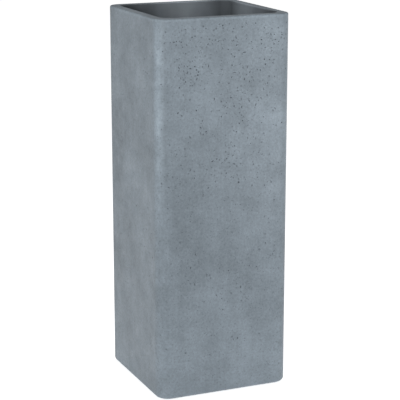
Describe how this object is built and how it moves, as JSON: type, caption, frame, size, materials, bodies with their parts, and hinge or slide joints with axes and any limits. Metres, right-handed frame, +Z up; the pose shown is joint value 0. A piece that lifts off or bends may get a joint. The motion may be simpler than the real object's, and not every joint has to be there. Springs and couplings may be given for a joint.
{
  "type": "tall square planter",
  "caption": "Tall square column planter with rounded edges and a stone finish. A lift-out planting insert with pull-up handles hangs inside its broad rim.",
  "frame": {"origin": "on the floor, under the middle of the base", "axes": "+Z up, -Y to the front, +X to the right as seen from the front; the handles are at -X and +X"},
  "size_m": [0.26, 0.26, 0.7],
  "materials": {
    "stone_finish_shell": "moulded plastic with a matte, pitted blue-grey stone finish",
    "insert_plastic": "moulded dark grey plastic, fine matte grain",
    "handle_plastic": "moulded dark grey plastic, smooth on the grip",
    "grate_plastic": "moulded dark grey plastic",
    "plug_rubber": "moulded black rubber",
    "pad_rubber": "moulded black rubber"
  },
  "bodies": {
    "shell": {"outer_shell": "stone_finish_shell", "foot_pad_front_left": "pad_rubber", "foot_pad_front_right": "pad_rubber", "foot_pad_rear_left": "pad_rubber", "foot_pad_rear_right": "pad_rubber"},
    "insert": {"planting_insert": "insert_plastic"},
    "left_handle": {"left_lift_handle": "handle_plastic"},
    "right_handle": {"right_lift_handle": "handle_plastic"},
    "grate": {"drainage_grate": "grate_plastic"},
    "plug": {"drain_plug": "plug_rubber"}
  },
  "joints": [
    {"name": "insert_lift", "type": "slide", "parent": "shell", "child": "insert", "axis": [0, 0, 1], "range_m": [0, 0.36]},
    {"name": "left_handle_pull", "type": "slide", "parent": "insert", "child": "left_handle", "axis": [0, 0, 1], "range_m": [0, 0.05]},
    {"name": "right_handle_pull", "type": "slide", "parent": "insert", "child": "right_handle", "axis": [0, 0, 1], "range_m": [0, 0.05]},
    {"name": "grate_lift", "type": "slide", "parent": "insert", "child": "grate", "axis": [0, 0, 1], "range_m": [0, 0.34]},
    {"name": "drain_plug_pull", "type": "slide", "parent": "shell", "child": "plug", "axis": [0, 0, -1], "range_m": [0, 0.025]}
  ]
}
